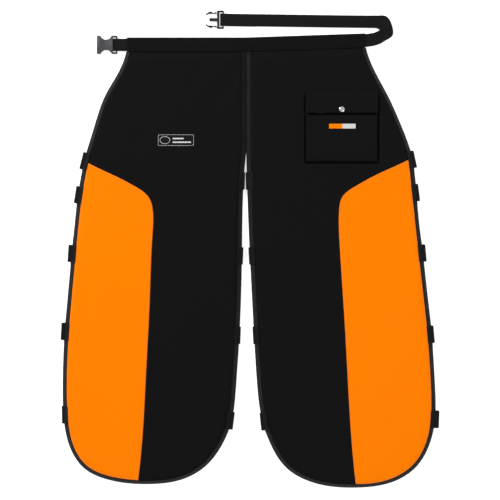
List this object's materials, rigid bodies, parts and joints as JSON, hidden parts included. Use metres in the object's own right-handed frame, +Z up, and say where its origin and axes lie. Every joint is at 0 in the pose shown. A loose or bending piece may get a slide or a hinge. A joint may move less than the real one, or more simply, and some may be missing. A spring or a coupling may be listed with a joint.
{
  "type": "chainsaw chaps",
  "caption": "Apron-style leg chaps with padded cut-resistant legs, orange lower panels, taped edges, a buckled waist belt, buckled leg straps and a flapped pocket.",
  "frame": {"origin": "centre of the footprint, on the floor under the flat-lying chaps", "axes": "+Y from the hems towards the waist, +X to the wearer's left side, +Z up out of the front face"},
  "size_m": [0.834, 1.052, 0.0248],
  "materials": {
    "shell_cloth": "matte heavy oxford weave",
    "orange_cloth": "matte coated oxford weave",
    "lining_cloth": "matte tricot",
    "pad_felt": "matte fibre felt",
    "binding_tape": "matte folded tape",
    "webbing": "satin woven webbing",
    "label_cloth": "matte woven label",
    "black_nylon": "satin moulded nylon",
    "snap_cap": "polished nickel",
    "snap_steel": "plain"
  },
  "bodies": {
    "garment": {"left_leg_lining": "lining_cloth", "left_cut_pad": "pad_felt", "left_leg_shell": "shell_cloth", "left_leg_panel": "orange_cloth", "left_leg_binding": "binding_tape", "left_strap_tabs": "webbing", "right_leg_lining": "lining_cloth", "right_cut_pad": "pad_felt", "right_leg_shell": "shell_cloth", "right_leg_panel": "orange_cloth", "right_leg_binding": "binding_tape", "right_strap_tabs": "webbing", "waistband": "shell_cloth", "belt_base": "webbing", "pocket_body": "shell_cloth", "snap_stud": "snap_steel", "blank_labels": "label_cloth"},
    "left_outer_half_1": {"left_outer_strap_1": "webbing", "left_outer_socket_1": "black_nylon"},
    "left_inner_half_1": {"left_inner_strap_1": "webbing", "left_inner_plug_1": "black_nylon"},
    "left_outer_half_2": {"left_outer_strap_2": "webbing", "left_outer_socket_2": "black_nylon"},
    "left_inner_half_2": {"left_inner_strap_2": "webbing", "left_inner_plug_2": "black_nylon"},
    "left_outer_half_3": {"left_outer_strap_3": "webbing", "left_outer_socket_3": "black_nylon"},
    "left_inner_half_3": {"left_inner_strap_3": "webbing", "left_inner_plug_3": "black_nylon"},
    "left_outer_half_4": {"left_outer_strap_4": "webbing", "left_outer_socket_4": "black_nylon"},
    "left_inner_half_4": {"left_inner_strap_4": "webbing", "left_inner_plug_4": "black_nylon"},
    "right_outer_half_1": {"right_outer_strap_1": "webbing", "right_outer_socket_1": "black_nylon"},
    "right_inner_half_1": {"right_inner_strap_1": "webbing", "right_inner_plug_1": "black_nylon"},
    "right_outer_half_2": {"right_outer_strap_2": "webbing", "right_outer_socket_2": "black_nylon"},
    "right_inner_half_2": {"right_inner_strap_2": "webbing", "right_inner_plug_2": "black_nylon"},
    "right_outer_half_3": {"right_outer_strap_3": "webbing", "right_outer_socket_3": "black_nylon"},
    "right_inner_half_3": {"right_inner_strap_3": "webbing", "right_inner_plug_3": "black_nylon"},
    "right_outer_half_4": {"right_outer_strap_4": "webbing", "right_outer_socket_4": "black_nylon"},
    "right_inner_half_4": {"right_inner_strap_4": "webbing", "right_inner_plug_4": "black_nylon"},
    "seat_socket_half": {"seat_strap_left": "webbing", "seat_socket": "black_nylon"},
    "seat_plug_half": {"seat_strap_right": "webbing", "seat_plug": "black_nylon"},
    "waist_socket": {"waist_socket": "black_nylon"},
    "belt_run": {"belt_run": "webbing"},
    "waist_plug": {"waist_plug": "black_nylon"},
    "plug_arm_a": {"waist_plug_arm_a": "black_nylon"},
    "plug_arm_b": {"waist_plug_arm_b": "black_nylon"},
    "pocket_flap": {"pocket_flap": "shell_cloth", "snap_cap": "snap_cap"}
  },
  "joints": [
    {"name": "left_outer_fold_1", "type": "hinge", "parent": "garment", "child": "left_outer_half_1", "pos_m": [-0.38431, 0.12061, 0.004], "axis": [0.1564, 0.9877, 0], "range_deg": [0, 180]},
    {"name": "left_inner_fold_1", "type": "hinge", "parent": "garment", "child": "left_inner_half_1", "pos_m": [-0.01199, 0.15044, 0.004], "axis": [-0.0349, -0.9994, 0], "range_deg": [0, 80]},
    {"name": "left_outer_fold_2", "type": "hinge", "parent": "garment", "child": "left_outer_half_2", "pos_m": [-0.39987, -0.00887, 0.004], "axis": [0.0698, 0.9976, 0], "range_deg": [0, 180]},
    {"name": "left_inner_fold_2", "type": "hinge", "parent": "garment", "child": "left_inner_half_2", "pos_m": [-0.01599, -0.01456, 0.004], "axis": [-0.0349, -0.9994, 0], "range_deg": [0, 80]},
    {"name": "left_outer_fold_3", "type": "hinge", "parent": "garment", "child": "left_outer_half_3", "pos_m": [-0.41518, -0.18051, 0.004], "axis": [0.0523, 0.9986, 0], "range_deg": [0, 180]},
    {"name": "left_inner_fold_3", "type": "hinge", "parent": "garment", "child": "left_inner_half_3", "pos_m": [-0.02149, -0.18956, 0.004], "axis": [-0.0349, -0.9994, 0], "range_deg": [0, 80]},
    {"name": "left_outer_fold_4", "type": "hinge", "parent": "garment", "child": "left_outer_half_4", "pos_m": [-0.41339, -0.36451, 0.004], "axis": [-0.0175, 0.9998, 0], "range_deg": [0, 180]},
    {"name": "left_inner_fold_4", "type": "hinge", "parent": "garment", "child": "left_inner_half_4", "pos_m": [-0.03653, -0.37808, 0.004], "axis": [-0.1219, -0.9925, 0], "range_deg": [0, 80]},
    {"name": "right_outer_fold_1", "type": "hinge", "parent": "garment", "child": "right_outer_half_1", "pos_m": [0.37147, 0.12531, 0.004], "axis": [0.1219, -0.9925, 0], "range_deg": [0, 180]},
    {"name": "right_inner_fold_1", "type": "hinge", "parent": "garment", "child": "right_inner_half_1", "pos_m": [-0.00869, 0.1505, 0.004], "axis": [-0.0175, 0.9998, 0], "range_deg": [0, 80]},
    {"name": "right_outer_fold_2", "type": "hinge", "parent": "garment", "child": "right_outer_half_2", "pos_m": [0.38669, -0.00782, 0.004], "axis": [0.0872, -0.9962, 0], "range_deg": [0, 180]},
    {"name": "right_inner_fold_2", "type": "hinge", "parent": "garment", "child": "right_inner_half_2", "pos_m": [-0.00208, -0.01461, 0.004], "axis": [-0.0523, 0.9986, 0], "range_deg": [0, 80]},
    {"name": "right_outer_fold_3", "type": "hinge", "parent": "garment", "child": "right_outer_half_3", "pos_m": [0.40449, -0.18699, 0.004], "axis": [0.0872, -0.9962, 0], "range_deg": [0, 180]},
    {"name": "right_inner_fold_3", "type": "hinge", "parent": "garment", "child": "right_inner_half_3", "pos_m": [0.00712, -0.18961, 0.004], "axis": [-0.0523, 0.9986, 0], "range_deg": [0, 80]},
    {"name": "right_outer_fold_4", "type": "hinge", "parent": "garment", "child": "right_outer_half_4", "pos_m": [0.41551, -0.37476, 0.004], "axis": [-0.0349, -0.9994, 0], "range_deg": [0, 180]},
    {"name": "right_inner_fold_4", "type": "hinge", "parent": "garment", "child": "right_inner_half_4", "pos_m": [0.02364, -0.37999, 0.004], "axis": [-0.1045, 0.9945, 0], "range_deg": [0, 80]},
    {"name": "seat_left_fold", "type": "hinge", "parent": "garment", "child": "seat_socket_half", "pos_m": [-0.37059, 0.19578, 0.004], "axis": [0.2419, 0.9703, 0], "range_deg": [0, 180]},
    {"name": "seat_right_fold", "type": "hinge", "parent": "garment", "child": "seat_plug_half", "pos_m": [0.36318, 0.19885, 0.004], "axis": [0.2079, -0.9781, 0], "range_deg": [0, 180]},
    {"name": "waist_socket_lift", "type": "hinge", "parent": "garment", "child": "waist_socket", "pos_m": [-0.29159, 0.45106, 0.004], "axis": [0, 1, 0], "range_deg": [0, 75]},
    {"name": "belt_run_lift", "type": "hinge", "parent": "garment", "child": "belt_run", "pos_m": [0.27531, 0.50656, 0.004], "axis": [0, 1, 0], "range_deg": [0, 120]},
    {"name": "waist_plug_adjust", "type": "slide", "parent": "belt_run", "child": "waist_plug", "axis": [1, 0, 0], "range_m": [0, 0.12], "deforming": ["belt_run"]},
    {"name": "plug_arm_a_flex", "type": "hinge", "parent": "waist_plug", "child": "plug_arm_a", "pos_m": [-0.07309, 0.49106, 0.004], "axis": [0, 0, -1], "range_deg": [0, 8], "stiffness_Nm_per_rad": 0.35},
    {"name": "plug_arm_b_flex", "type": "hinge", "parent": "waist_plug", "child": "plug_arm_b", "pos_m": [-0.07309, 0.52206, 0.004], "axis": [0, 0, -1], "range_deg": [-8, 0], "stiffness_Nm_per_rad": 0.35},
    {"name": "pocket_flap_lift", "type": "hinge", "parent": "garment", "child": "pocket_flap", "pos_m": [0.20131, 0.34056, 0.0232], "axis": [-1, 0, 0], "range_deg": [0, 150]}
  ],
  "couplings": [
    {"joint": "plug_arm_b_flex", "follows": "plug_arm_a_flex", "ratio": -1}
  ]
}
